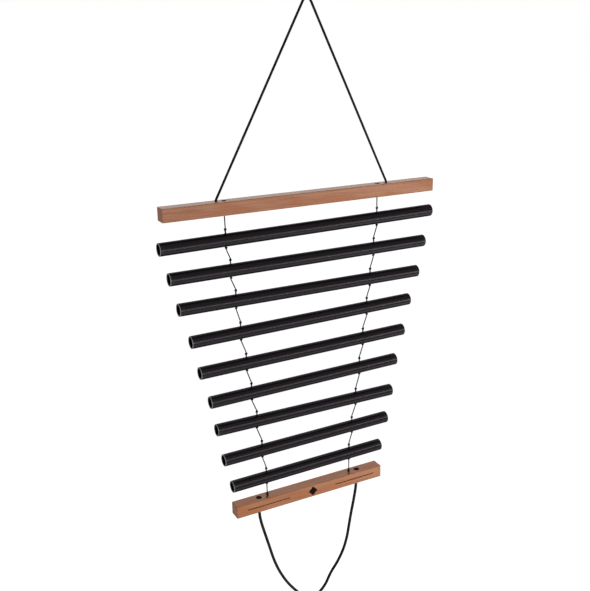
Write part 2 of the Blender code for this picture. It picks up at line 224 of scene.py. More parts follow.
@dataclass(frozen=True)
class OiledWood(Finish):
    """Straight-grained hardwood, planed along the grain and rubbed with oil.

    The eye sees long soft stripes where the growth rings meet a face, arcs of the same
    rings on the ends, short dark pores, and a low sheen that greys at a glancing look.
    """

    size: Triple  # of the bar
    pith: tuple[float, float]  # y and z of the rings' middle, in millimetres
    warm: str  # of the orange zones
    pale: str  # of the tan zones
    rosy: str  # of the pinkish clouds
    late: str  # of the dense end of each ring
    pore: str = "#4a2a1c"
    ring_width: float = 2.4  # in millimetres
    slant: float = 7.0  # of the figure, in degrees
    roughness: float = 0.56  # where the fibres are neither dense nor open
    unevenness: float = 0.22  # of the roughness, from fibre to fibre
    edge_reach: float = 0.002  # how far in from an edge the handling shows

    def shade(self, tree: Tree) -> Source:
        """Make the finish's nodes.

        Args:
            tree: The material's node tree.

        Returns:
            The shader to put on the surface.
        """
        # Fibres are 0.03 mm thick, drawn at 0.7 mm so that they show
        fibres = self.grain(tree, (34.0, 0.7, 0.7), Detail=2.0, Roughness=0.55)
        # Pores are 0.1 mm across and a few millimetres long, drawn at 0.24 mm
        pores = self.grain(tree, (3.2, 0.24, 0.24))
        pore_stops = ((0.62, 0.0), (0.74, 1.0))
        zones = self.grain(tree, (70.0, 14.0, 14.0), slant=self.slant, Detail=1.0)
        clouds = self.grain(tree, (34.0, 7.0, 7.0), slant=-self.slant, Detail=2.0)
        streaks = self.grain(tree, (58.0, 2.6, 2.6), slant=self.slant / 2, Detail=1.0)
        ring_stops = ((0.0, 0.25), (0.12, 0.0), (0.55, 0.15), (0.9, 1.0))
        colour = self.laid_over(
            tree, self.warm,
            Tone(zones, ((0.42, 0.0), (0.58, 1.0)), self.pale),
            Tone(clouds, ((0.5, 0.0), (0.7, 1.0)), self.rosy, 0.6),
            Tone(self.rings(tree), ring_stops, self.late, 0.3),
            Tone(streaks, ((0.52, 0.0), (0.72, 1.0)), self.late, 0.55),
            Tone(fibres, ((0.45, 0.0), (0.8, 1.0)), self.late, 0.3),
            Tone(pores, pore_stops, self.pore, 0.22),
            Tone(self.from_edge(tree), ((0.0, 1.0), (0.5, 0.55), (1.0, 0.0)), self.late, 0.22),
        )
        # Pores stand open by a few hundredths of a millimetre
        open_pores = add_node(tree, "ValToRGB", {"Fac": pores}, pore_stops)
        height = add_node(tree, "Math", {0: fibres, 1: open_pores}, operation="SUBTRACT")
        inputs = {0: fibres, 1: self.unevenness, 2: self.roughness - self.unevenness / 2}
        return add_node(tree, "BsdfPrincipled", {
            "Base Color": colour,
            "Roughness": add_node(tree, "Math", inputs, operation="MULTIPLY_ADD"),
            "IOR": 1.5,
            # Oil sinks in and leaves the open grain with little gloss
            "Specular IOR Level": 0.32,
            "Normal": add_node(
                tree, "Bump", {"Height": height, "Strength": 0.3, "Distance": 0.05 * MM}
            ),
        })

    def rings(self, tree: Tree) -> Source:
        """Where each point lies in its growth ring.

        Args:
            tree: The material's node tree.

        Returns:
            The share of the ring's width, outwards from the pith.
        """
        place = add_node(tree, "TexCoord").outputs["Object"]
        # The rings wander by up to 3 mm over a hand's width
        value = self.grain(tree, (70.0, 24.0, 24.0), Detail=2.0).outputs["Color"]
        for scale, shift in (
            ((0.0, 3 * MM, 3 * MM), place),
            ((0.0, 1.0, 1.0), (0.0, *(-middle * MM for middle in self.pith))),
        ):
            inputs = {0: value, 1: scale, 2: shift}
            value = add_node(tree, "VectorMath", inputs, operation="MULTIPLY_ADD")
        radius = add_node(tree, "VectorMath", {0: value}, operation="LENGTH").outputs["Value"]
        count = add_node(tree, "Math", {0: radius, 1: self.ring_width * MM}, operation="DIVIDE")
        return add_node(tree, "Math", {0: count}, operation="FRACT")

    def from_edge(self, tree: Tree) -> Source:
        """How far each point is from the bar's nearest edge.

        Args:
            tree: The material's node tree.

        Returns:
            The distance, as a share of the handling's reach.
        """
        halves = [side / 2 for side in self.size]
        reach = self.edge_reach
        value = add_node(tree, "TexCoord").outputs["Object"]
        for operation, inputs in (
            ("ADD", {1: (0.0, 0.0, halves[2])}),  # the origin is in the top face
            ("ABSOLUTE", {}),
            ("MULTIPLY_ADD", {1: (-1 / reach,) * 3, 2: [half / reach for half in halves]}),
        ):
            value = add_node(tree, "VectorMath", {0: value, **inputs}, operation=operation)
        x, y, z = add_node(tree, "SeparateXYZ", {0: value}).outputs
        # On a face one of the three is nothing, and the next is the nearest edge's
        low = add_node(tree, "Math", {0: x, 1: y}, operation="MINIMUM")
        high = add_node(tree, "Math", {0: x, 1: y}, operation="MAXIMUM")
        high = add_node(tree, "Math", {0: high, 1: z}, operation="MINIMUM")
        return add_node(tree, "Math", {0: low, 1: high}, operation="MAXIMUM")


@dataclass(frozen=True)
class BurntWood(Finish):
    """Wood burnt by a laser or a drill, so that its surface is charred. In the bores the dark
    colour also stands for painted shade.

    The eye sees a matt, nearly black or deep brown floor with a faint rib at each
    pass of the beam.
    """

    char: str
    ember: str  # of the browner patches
    roughness: float = 0.8

    def shade(self, tree: Tree) -> Source:
        """Make the finish's nodes.

        Args:
            tree: The material's node tree.

        Returns:
            The shader to put on the surface.
        """
        soot = self.grain(tree, (1.6, 0.8, 0.8), Detail=4.0)
        patches = Tone(soot, ((0.4, 0.0), (0.75, 1.0)), self.ember)
        # The beam's passes lie 0.1 mm apart, drawn at 0.4 mm so that they show
        passes = self.grain(tree, (9.0, 0.4, 0.4), Detail=2.0)
        relief = {"Height": passes, "Strength": 0.6, "Distance": 0.05 * MM}
        return add_node(tree, "BsdfPrincipled", {
            "Base Color": self.laid_over(tree, self.char, patches),
            "Roughness": self.roughness,
            "IOR": 1.5,
            # Soot is porous and swallows most of the gloss
            "Specular IOR Level": 0.05,
            "Normal": add_node(tree, "Bump", relief),
        })


@dataclass(frozen=True)
class AnodisedAluminium(Finish):
    """Drawn aluminium tube, etched satin and anodised black.

    The eye sees a deep black with one long soft highlight along the tube, very faint
    draw lines that run with it, and small grey rubs near the ends and the string holes.
    """

    dye: str
    rub: str  # where handling has thinned the dye
    roughness: float = 0.31
    line_gloss: float = 0.05  # how far the roughness differs in the draw lines
    cloud_gloss: float = 0.06  # and in large soft patches

    def shade(self, tree: Tree) -> Source:
        """Make the finish's nodes.

        Args:
            tree: The material's node tree.

        Returns:
            The shader to put on the surface.
        """
        # Draw lines are 0.05 mm apart, drawn at 0.5 mm so that they show
        lines = self.grain(tree, (150.0, 0.5, 0.5), Detail=1.0)
        clouds = self.grain(tree, (14.0, 6.0, 6.0), Detail=3.0)
        scuffs = self.grain(tree, (2.4, 0.5, 0.5), Detail=3.0, Roughness=0.65)
        wear = add_node(tree, "Attribute", attribute_name="wear").outputs["Fac"]
        rubbed = Tone(scuffs, ((0.56, 0.0), (0.74, 1.0)), self.rub, wear)
        gloss: Any = self.roughness - 0.05
        for pattern, share in ((lines, self.line_gloss), (clouds, self.cloud_gloss)):
            inputs = {0: pattern, 1: share, 2: gloss}
            gloss = add_node(tree, "Math", inputs, operation="MULTIPLY_ADD")
        relief = {"Height": lines, "Strength": 0.05, "Distance": 0.01 * MM}
        return add_node(tree, "BsdfPrincipled", {
            "Base Color": self.laid_over(tree, self.dye, rubbed),
            "Metallic": 1.0,
            "Roughness": gloss,
            # The dye swallows most of what metal would show at a glancing look
            "Specular Tint": linear("#bab8ba"),
            "Normal": add_node(tree, "Bump", relief),
        })


@dataclass(frozen=True)
class TwistedYarn(Finish):
    """Polyester yarn, dyed black and waxed or braided.

    The eye sees a soft black with a faint fuzz of light at the edges. Its colour is painted
    paler on the strands' crowns and darker in the grooves: painted light and painted shade.
    """

    # The crown colour is painted light on the strands' crowns; the groove colour is the black,
    # painted darker as the shade in the grooves
    crown: str
    groove: str
    roughness: float
    sheen: float

    def shade(self, tree: Tree) -> Source:
        """Make the finish's nodes.

        Args:
            tree: The material's node tree.

        Returns:
            The shader to put on the surface.
        """
        height = add_node(tree, "Attribute", attribute_name="relief").outputs["Fac"]
        # Filaments are 0.02 mm thick, drawn at 0.12 mm so that they show
        filaments = self.grain(tree, (0.12, 0.12, 0.12), Detail=2.0)
        # Painted light and shade: paler where the strands stand high, darker in the grooves
        # between them
        light = add_node(tree, "Math", {0: height, 1: filaments}, operation="MULTIPLY")
        painted_crown_light = Tone(light, ((0.1, 0.0), (0.6, 1.0)), self.crown)
        relief = {"Height": filaments, "Strength": 0.4, "Distance": 0.04 * MM}
        return add_node(tree, "BsdfPrincipled", {
            "Base Color": self.laid_over(tree, self.groove, painted_crown_light),
            "Roughness": self.roughness,
            "IOR": 1.46,
            # Light is lost between the loose filaments
            "Specular IOR Level": 0.1,
            "Sheen Weight": self.sheen,
            "Sheen Roughness": 0.4,
            "Sheen Tint": linear("#6f6f72"),
            "Normal": add_node(tree, "Bump", relief),
        })


UPPER_WOOD = OiledWood(
    "oiled_cherry_wood", UPPER_SIZE, (-46.0, 31.0), "#8d552f", "#956546", "#925c4b", "#713e25"
)
LOWER_WOOD = OiledWood(
    "oiled_orange_cherry_wood", LOWER_SIZE, (-34.0, -52.0),
    "#91562a", "#966240", "#975c44", "#763f1f", ring_width=2.9,
)
SCORCHED = BurntWood("laser_scorched_wood", "#3c1507", "#55240e")
CHARRED = BurntWood("laser_charred_wood", "#0a0507", "#140a0a")
# The bore walls are dark partly from the drill's scorch and partly as painted shade of the narrow
# holes and pockets
BORED_SCORCH_AND_SHADE = BurntWood("drill_scorched_wood_and_painted_shade", "#1d100a", "#332013")
BLACK_TUBE = AnodisedAluminium("black_anodised_aluminium", "#1d1b1d", "#4f4d4e")
TUBE_RIM = AnodisedAluminium("rubbed_anodised_rim", "#757374", "#9c9a9b", roughness=0.42)
# Each yarn's second colour is painted light on its crowns, its third painted shade in its grooves
STRING_YARN = TwistedYarn("waxed_polyester_string", "#1b1a1b", "#080808", 0.55, 0.05)
CORD_YARN = TwistedYarn("braided_polyester_cord", "#1a191a", "#060606", 0.68, 0.06)
SEALED_END = TwistedYarn("melted_polyester_end", "#151414", "#090808", 0.35, 0.0)


# Shapes


class Skins:
    """Closed bodies gathered into one mesh."""

    def __init__(self) -> None:
        """Start with no bodies."""
        self.points: list[np.ndarray] = []
        self.faces: list[list[int]] = []
        self.looks: list[int] = []
        self.values: list[np.ndarray] = []
        self.count = 0

    def add(
        self, rings: np.ndarray, values: np.ndarray | None = None, looped: bool = False,
        look: int = 0,
    ) -> None:
        """Add a body skinned over rings of points.

        Args:
            rings: Points by ring, by place in the ring and by axis. They go round
                counter-clockwise, seen against the way that the rings run.
            values: The relief at each point, or 0.
            looped: Whether the last ring joins the first, where caps close it otherwise.
            look: The index of its material.
        """
        count, sides = rings.shape[:2]
        index = np.arange(count * sides).reshape(count, sides) + self.count
        after = np.roll(index, -1, axis=0) if looped else index[1:]
        here = index if looped else index[:-1]
        corners = (here, np.roll(here, -1, axis=1), np.roll(after, -1, axis=1), after)
        made = np.stack(corners, axis=-1).reshape(-1, 4).tolist()
        if not looped:
            made += [index[0][::-1].tolist(), index[-1].tolist()]
        self.faces += made
        self.looks += [look] * len(made)
        self.points.append(rings.reshape(-1, 3))
        self.values.append(np.zeros(count * sides) if values is None else values.reshape(-1))
        self.count += count * sides

    def mesh(self, name: str) -> bpy.types.Mesh:
        """Make the mesh.

        Args:
            name: The mesh's name.

        Returns:
            The mesh, shaded smooth.
        """
        mesh = bpy.data.meshes.new(name)
        mesh.from_pydata(np.concatenate(self.points).tolist(), [], self.faces)
        mesh.polygons.foreach_set("material_index", self.looks)
        mesh.shade_smooth()
        layer = mesh.attributes.new("relief", "FLOAT", "POINT")
        layer.data.foreach_set("value", np.concatenate(self.values).astype(np.float32))
        mesh.update()
        return mesh


def turned(profile: Iterable[tuple[float, float]], sides: int, axis: Matrix) -> np.ndarray:
    """Turn a profile about the Z axis of a frame.

    Args:
        profile: Radius and height pairs, from the bottom up on the outer side.
        sides: How many points each ring has.
        axis: The frame.

    Returns:
        The rings of points.
    """
    angles = np.arange(sides) * tau / sides
    rings = np.array([
        np.stack([r * np.cos(angles), r * np.sin(angles), np.full(sides, z)], axis=-1)
        for r, z in profile
    ])
    turn = np.array(axis.to_3x3())
    return rings @ turn.T + np.array(axis.translation)


def rounded(
    middle: tuple[float, float], radius: float, start: float, steps: int = 4
) -> list[tuple[float, float]]:
    """A quarter circle of a profile.

    Args:
        middle: The arc's middle, as radius and height.
        radius: The arc's own radius.
        start: The angle at which it starts, in degrees from straight out.
        steps: How many straight runs it has.

    Returns:
        Its points, as radius and height.
    """
    angles = [radians(start + 90 * step / steps) for step in range(steps + 1)]
    return [(middle[0] + radius * cos(a), middle[1] + radius * sin(a)) for a in angles]


def shown(name: str, mesh: bpy.types.Mesh, *finishes: Finish) -> Piece:
    """Put a mesh into the scene with its materials.

    Args:
        name: The piece's name.
        mesh: The mesh.
        finishes: Its finishes, in the order of its material slots.

    Returns:
        The piece.
    """
    piece = bpy.data.objects.new(name, mesh)
    bpy.context.scene.collection.objects.link(piece)
    mesh.materials.clear()
    for finish in finishes:
        mesh.materials.append(finish.material())
    return piece


def cut(piece: Piece, cutters: Skins) -> None:
    """Cut closed bodies out of a piece, after its own modifiers.

    Args:
        piece: The piece, whose mesh is replaced.
        cutters: The bodies, whose looks go on the faces that they leave.
    """
    tool = bpy.data.objects.new("cutter", cutters.mesh("cutter"))
    bpy.context.scene.collection.objects.link(tool)
    for material in piece.data.materials:
        tool.data.materials.append(material)
    removal = piece.modifiers.new("cuts", "BOOLEAN")
    removal.operation = "DIFFERENCE"
    removal.object = tool
    depsgraph = bpy.context.evaluated_depsgraph_get()
    mesh = bpy.data.meshes.new_from_object(
        piece.evaluated_get(depsgraph), preserve_all_data_layers=True, depsgraph=depsgraph
    )
    piece.modifiers.clear()
    piece.data = mesh
    bpy.data.objects.remove(tool)


def crisp(piece: Piece, angle: float = 32.0) -> None:
    """Shade a piece smooth between its sharp edges, and flat on its broad faces.

    Args:
        piece: The piece.
        angle: From how many degrees on an edge is sharp.
    """
    piece.data.shade_smooth()
    piece.data.set_sharp_from_angle(angle=radians(angle))
    weights = piece.modifiers.new("shading", "WEIGHTED_NORMAL")
    weights.keep_sharp = True


def placed(piece: Piece, body: str, node: str) -> Piece:
    """Make a piece ride on its body in place of the node that it stands for.

    Args:
        piece: The piece.
        body: The body that carries it.
        node: The node that it replaces.

    Returns:
        The piece.
    """
    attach(piece, body)
    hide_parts(node)
    log.info("%s rides on %s, %d faces", piece.name, body, len(piece.data.polygons))
    return piece


def joint(name: str) -> Mapping[str, Any]:
    """A joint of the frame by its name."""
    return next(each for each in frame["joints"] if each["name"] == name)


def end_ring(node: str, top: bool) -> Vector:
    """Find one end of a cord's node in the frame.

    Args:
        node: The node.
        top: Whether it is the upper end.

    Returns:
        The middle of the last ring of points there.
    """
    places = {tuple(round(c, 6) for c in v.co) for v in frame["nodes"][node].data.vertices}
    ring = sorted(places, key=lambda place: place[2], reverse=top)[:CORD_SIDES]
    return sum((Vector(place) for place in ring), Vector()) / len(ring)


def hanging_frame(middle: Vector, along: Vector) -> Matrix:
    """A frame in the hanging plane, with X along a bar or tube and Z up.

    Args:
        middle: Its origin.
        along: The way of its X axis.

    Returns:
        The frame.
    """
    x = along.normalized()
    turn = Matrix((x, BACK, x.cross(BACK))).transposed().to_4x4()
    return Matrix.Translation(middle) @ turn


# Cords and strings


class Lay(Enum):
    """How the strands of a cord lie."""

    TWISTED = "twisted"
    BRAIDED = "braided"


class Hang(Enum):
    """How a free cord is held."""

    TAUT = "taut"
    HANGING = "hanging"


@dataclass(frozen=True)
class Yarn:
    """A string or cord, with the relief of its strands."""

    diameter: float
    lay: Lay
    strands: int  # plies of a twist, or strands each way of a braid
    pitch: float  # along which a strand goes once round
    depth: float  # of the grooves
    sides: int
    step: float  # between rings
    end_angles: tuple[float, ...] = (20.0, 45.0, 70.0)  # of a rounded end's rings

    @property
    def radius(self) -> float:
        """Half the diameter."""
        return self.diameter / 2

    def relief(self, along: np.ndarray, around: np.ndarray) -> np.ndarray:
        """The surface's height, from 0 in a groove to 1 on a crown.

        Args:
            along: Distance along the yarn.
            around: Place round it, as a share of a turn.

        Returns:
            The heights.
        """
        turn = along / self.pitch
        if self.lay is Lay.TWISTED:
            return np.abs(np.cos(pi * self.strands * (around - turn)))
        right = self.strands * (around - turn)
        left = self.strands * (around + turn)
        over = (np.floor(right) + np.floor(left)) % 2 == 0
        across = np.sin(pi * (np.where(over, right, left) % 1))
        ends = np.sin(pi * (np.where(over, left, right) % 1))
        return across * np.sqrt(ends)

    def lay_along(self, skins: Skins, path: Sequence[Vector], look: int = 0) -> None:
        """Add a stretch of the yarn with rounded ends.

        Args:
            skins: What it is added to.
            path: The points that it follows, where its ends are the middles of half balls.
            look: The index of its material.
        """
        points = np.array([list(point) for point in path])
        first = points[0] - points[1]
        last = points[-1] - points[-2]
        points[0] += first / np.linalg.norm(first) * self.radius
        points[-1] += last / np.linalg.norm(last) * self.radius
        runs = np.linalg.norm(np.diff(points, axis=0), axis=1)
        lengths = np.concatenate([[0.0], np.cumsum(runs)])
        whole = lengths[-1]
        ball = self.radius * (1 - np.cos(np.array(self.end_angles) * pi / 180))
        steps = max(2, ceil((whole - 2 * self.radius) / self.step))
        middle = np.linspace(self.radius, whole - self.radius, steps + 1)
        along = np.concatenate([ball, middle, whole - ball[::-1]])
        line = np.stack([np.interp(along, lengths, points[:, axis]) for axis in range(3)], axis=-1)
        from_end = np.minimum(1.0, np.minimum(along, whole - along) / self.radius)
        size = self.radius * np.sqrt(1 - (1 - from_end) ** 2)
        around = np.arange(self.sides) / self.sides
        height = self.relief(along[:, None], around[None, :])
        spread = size[:, None] + (height - 0.5) * self.depth * from_end[:, None]
        normals, sideways = frames_along(line)
        angles = around * tau
        offsets = (
            np.cos(angles)[None, :, None] * normals[:, None, :]
            + np.sin(angles)[None, :, None] * sideways[:, None, :]
        )
        skins.add(line[:, None, :] + offsets * spread[:, :, None], height, look=look)


def frames_along(line: np.ndarray) -> tuple[np.ndarray, np.ndarray]:
    """Two directions square to a line at each point, which turn with it as little as they can.

    Args:
        line: The points of the line.

    Returns:
        The first direction and the second, by point.
    """
    tangents = np.gradient(line, axis=0)
    tangents /= np.linalg.norm(tangents, axis=1, keepdims=True)
    normal = np.eye(3)[np.argmin(np.abs(tangents[0]))]
    normals = np.empty_like(line)
    for index, tangent in enumerate(tangents):
        normal = normal - tangent * (normal @ tangent)
        normal = normal / np.linalg.norm(normal)
        normals[index] = normal
    return normals, np.cross(tangents, normals)


@dataclass(frozen=True)
class Knot:
    """A stopper knot: turns of the yarn round its own core."""

    diameter: float
    height: float
    lean: float = 0.3  # how far a turn tips, as a share of the yarn's diameter
    fewest_turns: float = 1.35
    steps: int = 14  # points in each turn
    core: float = 0.35  # where a coil starts and ends, as a share of its reach
    opening: float = 5.0  # how fast it opens out from there

    def tie(self, skins: Skins, yarn: Yarn, foot: Vector, up: Vector, phase: float) -> Vector:
        """Add the knot's turns.

        Args:
            skins: What they are added to.
            yarn: The yarn.
            foot: The knot's lowest point, on its axis.
            up: The way that its axis points.
            phase: Where the turns start, in radians.

        Returns:
            Where the last turn ends.
        """
        rise = self.height - yarn.diameter
        turns = max(self.fewest_turns, rise / yarn.diameter)
        reach = (self.diameter - yarn.diameter) / 2
        side = BACK.cross(up).normalized()
        count = ceil(turns * self.steps)
        coil = []
        for index in range(count + 1):
            share = index / count
            angle = phase + tau * turns * share
            from_end = min(share, 1 - share)
            inner = min(1.0, self.core + self.opening * from_end)
            tip = self.lean * yarn.diameter * cos(angle) * inner / 2
            outward = side * cos(angle) + BACK * sin(angle)
            height = yarn.radius + rise * share + tip
            coil.append(foot + up * height + outward * reach * inner)
        yarn.lay_along(skins, coil)
        return coil[-1]


STRING = Yarn(0.0014, Lay.TWISTED, strands=3, pitch=0.005, depth=0.00016, sides=12, step=0.0004)
TAIL = Yarn(0.0011, Lay.TWISTED, strands=3, pitch=0.004, depth=0.00014, sides=12, step=0.0004)
HANGER_CORD = Yarn(
    0.0029, Lay.BRAIDED, strands=6, pitch=0.012, depth=0.00024, sides=36, step=0.00045
)
GRIP_CORD = Yarn(
    0.0039, Lay.BRAIDED, strands=8, pitch=0.016, depth=0.0003, sides=48, step=0.00045
)
UPPER_KNOT = Knot(0.0037, 0.0037)
LOWER_KNOT = Knot(0.0037, 0.0026)
END_KNOT = Knot(0.0036, 0.0030)


def curve_point(four: Sequence[Vector], share: float) -> Vector:
    """A point of the centripetal Catmull-Rom curve between the second and third of four points.

    Args:
        four: The points.
        share: How far along it lies between the two.

    Returns:
        The point.
    """
    times = [0.0]
    for first, second in zip(four, four[1:]):
        times.append(times[-1] + sqrt((second - first).length))
    now = times[1] + share * (times[2] - times[1])
    points = list(four)
    for span in (1, 2):
        points = [
            first.lerp(second, (now - times[i]) / (times[i + span] - times[i]))
            for i, (first, second) in enumerate(zip(points, points[1:]))
        ]
    return points[0].lerp(points[1], share)


def smooth_route(points: Sequence[Vector], longest: float) -> list[Vector]:
    """Points along a smooth curve through the given ones.

    Args:
        points: The points that it passes.
        longest: The longest straight run.

    Returns:
        The points of the curve.
    """
    padded = [2 * points[0] - points[1], *points, 2 * points[-1] - points[-2]]
    route = []
    for place in range(len(padded) - 3):
        four = padded[place:place + 4]
        runs = ceil((four[2] - four[1]).length / longest)
        route += [curve_point(four, run / runs) for run in range(runs)]
    return [*route, points[-1]]


@dataclass(frozen=True)
class BarEnd:
    """A line's end in a bar: through its hole, with a knot in the pocket opposite."""

    node: str
    body: str
    slot: str
    yarn: Yarn
    knot: Knot
    look: Finish
    knot_on_top: bool
    tail: float = 0.0014  # of the trimmed end that stands out of the knot

    def mouth(self) -> Vector:
        """Where the line leaves the bar."""
        return end_ring(self.node, top=not self.knot_on_top)

    def build(self, name: str, up: Vector, phase: float) -> Piece:
        """Make the knot, its trimmed end and the line through the hole.

        Args:
            name: The piece's name.
            up: The bar's upward direction.
            phase: Where the knot's turns start, in radians.

        Returns:
            The piece.
        """
        skins = Skins()
        inward = up if self.knot_on_top else -up
        far = end_ring(self.node, top=self.knot_on_top)
        foot = far - up * self.knot.height if self.knot_on_top else far
        core = [far - inward * self.yarn.radius, self.mouth() - inward * GAP]
        self.yarn.lay_along(skins, core)
        end = self.knot.tie(skins, self.yarn, foot, up, phase)
        if self.knot_on_top:
            root = end - up * self.yarn.radius
        else:
            root = foot + up * (self.knot.height / 2) + (end - foot).cross(up) / 2
        tip = root + inward * (self.tail + self.yarn.radius)
        self.yarn.lay_along(skins, [root, tip], look=1)
        piece = shown(name, skins.mesh(name), self.look, SEALED_END)
        return placed(piece, self.body, self.node)


# Bars


@dataclass(frozen=True)
class Bore:
    """A stepped hole through a bar: a narrow hole that opens into a knot's pocket."""

    hole: float  # radius
    pocket: float  # radius
    depth: float  # of the pocket
    pocket_on_top: bool
    flare: float = 0.00045  # of the broken edge at each mouth
    sides: int = 48

    def add_to(self, cutters: Skins, x: float, height: float) -> None:
        """Add the cutter of one bore.

        Args:
            cutters: What it is added to.
            x: Its place along the bar.
            height: The bar's height.
        """
        shoulder = -self.depth if self.pocket_on_top else self.depth - height
        below, above = self.pocket, self.hole
        if self.pocket_on_top:
            below, above = above, below
        profile = (
            (below + self.flare, -height - OVERRUN), (below + self.flare, -height),
            (below, -height + self.flare), (below, shoulder),
            (above, shoulder), (above, -self.flare),
            (above + self.flare, 0.0), (above + self.flare, OVERRUN),
        )
        # Its walls take the bore finish: partly scorch, partly painted shade
        cutters.add(turned(profile, self.sides, Matrix.Translation((x, 0.0, 0.0))), look=1)


STRING_BORE = Bore(0.0010, 0.0029, 0.0045, pocket_on_top=True)
HANGER_BORE = Bore(0.0016, 0.0037, 0.0068, pocket_on_top=False)
GRIP_BORE = Bore(0.0021, 0.0036, 0.0074, pocket_on_top=True)


@dataclass
class WoodenBar:
    """A square bar of oiled wood with rounded edges, bored for its cord and strings."""

    name: str
    node: str
    slot: str
    wood: Finish
    size: Triple  # along, from front to back, and in height
    along: Vector
    bores: Sequence[tuple[Bore, str, bool]]  # each with its nodes' stem and ring's end
    edge: float = 0.0008
    edge_runs: int = 4

    def __post_init__(self) -> None:
        """Find the frame at the middle of the top face."""
        _, self.depth, self.height = self.size
        low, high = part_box(self.node)
        middle = hanging_frame((low + high) / 2, self.along)
        self.frame = middle @ Matrix.Translation((0.0, 0.0, self.height / 2))
        self.up = self.frame.col[2].to_3d()

    def build(self) -> Piece:
        """Make the bar.

        Returns:
            The piece.
        """
        shape = bmesh.new()
        lowered = Matrix.Translation((0.0, 0.0, -self.height / 2))
        bmesh.ops.create_cube(shape, size=1.0, matrix=lowered @ Matrix.Diagonal((*self.size, 1.0)))
        mesh = bpy.data.meshes.new(self.name)
        shape.to_mesh(mesh)
        shape.free()
        piece = shown(self.name, mesh, *self.finishes())
        rounding = piece.modifiers.new("edges", "BEVEL")
        rounding.width = self.edge
        rounding.segments = self.edge_runs
        cutters = Skins()
        for bore, stem, top in self.bores:
            for side in SIDES:
                x = (self.frame.inverted() @ end_ring(f"{stem}_{side}", top)).x
                bore.add_to(cutters, x, self.height)
        self.engrave(cutters)
        cut(piece, cutters)
        crisp(piece)
        piece.matrix_world = self.frame
        return placed(piece, self.node, self.node)

    def finishes(self) -> list[Finish]:
        """The materials in the order of their slots."""
        return [self.wood, BORED_SCORCH_AND_SHADE]

    def engrave(self, cutters: Skins) -> None:
        """Leave the bar's faces plain."""


@dataclass
class EngravedBar(WoodenBar):
    """A bar whose front bears a burnt lozenge between two burnt lines."""

    ornament_shift: float = 0.0017
    line_start: float = 0.0353
    line_length: float = 0.0637
    line_width: float = 0.00125
    line_depth: float = 0.0005
    lozenge_diagonal: float = 0.0138
    lozenge_depth: float = 0.0004

    def finishes(self) -> list[Finish]:
        """The materials in the order of their slots."""
        return [self.wood, BORED_SCORCH_AND_SHADE, SCORCHED, CHARRED]

    def engrave(self, cutters: Skins) -> None:
        """Add the cutters of the two lines and the lozenge.

        Args:
            cutters: What they are added to.
        """
        middle = -self.height / 2
        half = self.line_width / 2
        for sign in SIDES.values():
            start, end = sorted(
                self.ornament_shift + sign * (self.line_start + reach)
                for reach in (half, self.line_length - half)
            )
            outline = [
                (x + half * cos(radians(angle)), middle + half * sin(radians(angle)))
                for x, first in ((end, -90), (start, 90))
                for angle in range(first, first + 181, 30)
            ]
            self.sink(cutters, outline, self.line_depth, look=2)
        reach = self.lozenge_diagonal / 2
        corners = [
            (self.ornament_shift + reach * cos(turn * pi / 2), middle + reach * sin(turn * pi / 2))
            for turn in range(4)
        ]
        self.sink(cutters, corners, self.lozenge_depth, look=3)

    def sink(
        self, cutters: Skins, outline: Sequence[tuple[float, float]], depth: float, look: int
    ) -> None:
        """Add a flat cutter that sinks an outline into the front.

        Args:
            cutters: What it is added to.
            outline: Its x and z, counter-clockwise from the front.
            depth: How deep it cuts.
            look: The index of the material that it leaves.
        """
        front = -self.depth / 2
        rings = [[(x, y, z) for x, z in outline] for y in (front + depth, front - OVERRUN)]
        cutters.add(np.array(rings), look=look)


@dataclass
class FreeCord:
    """A cord that hangs free between its two knotted ends in a bar."""

    name: str
    node: str
    body: str
    bar: WoodenBar
    end_stem: str  # of its ends' nodes
    knot: Knot
    knot_on_top: bool
    yarn: Yarn
    diameter: float  # as it is sold, with its strands pressed together
    length: float  # between its ends, along its middle
    hang: Hang
    route: Sequence[tuple[float, float]]  # x and z from its origin
    origin: Vector
    longest_run: float = 0.0015

    def build(self) -> Piece:
        """Returns:
            The cord.
        """
        knots, ends = [], {}
        outward = -self.bar.up if self.knot_on_top else self.bar.up
        for side, sign in SIDES.items():
            end = BarEnd(
                f"{self.end_stem}_{side}", self.bar.node, "cord", self.yarn, self.knot,
                CORD_YARN, self.knot_on_top,
            )
            knots.append(end.build(f"{self.name}_knot_{side}", self.bar.up, phase=sign))
            ends[side] = end.mouth() + outward * (GAP + self.yarn.radius)
        middle = [self.origin + Vector((x, 0.0, z)) for x, z in self.route]
        path = smooth_route([ends["left"], *middle, ends["right"]], self.longest_run)
        skins = Skins()
        self.yarn.lay_along(skins, path)
        piece = shown(self.name, skins.mesh(self.name), CORD_YARN)
        placed(piece, self.body, self.node)
        return piece


# Tubes and their strings


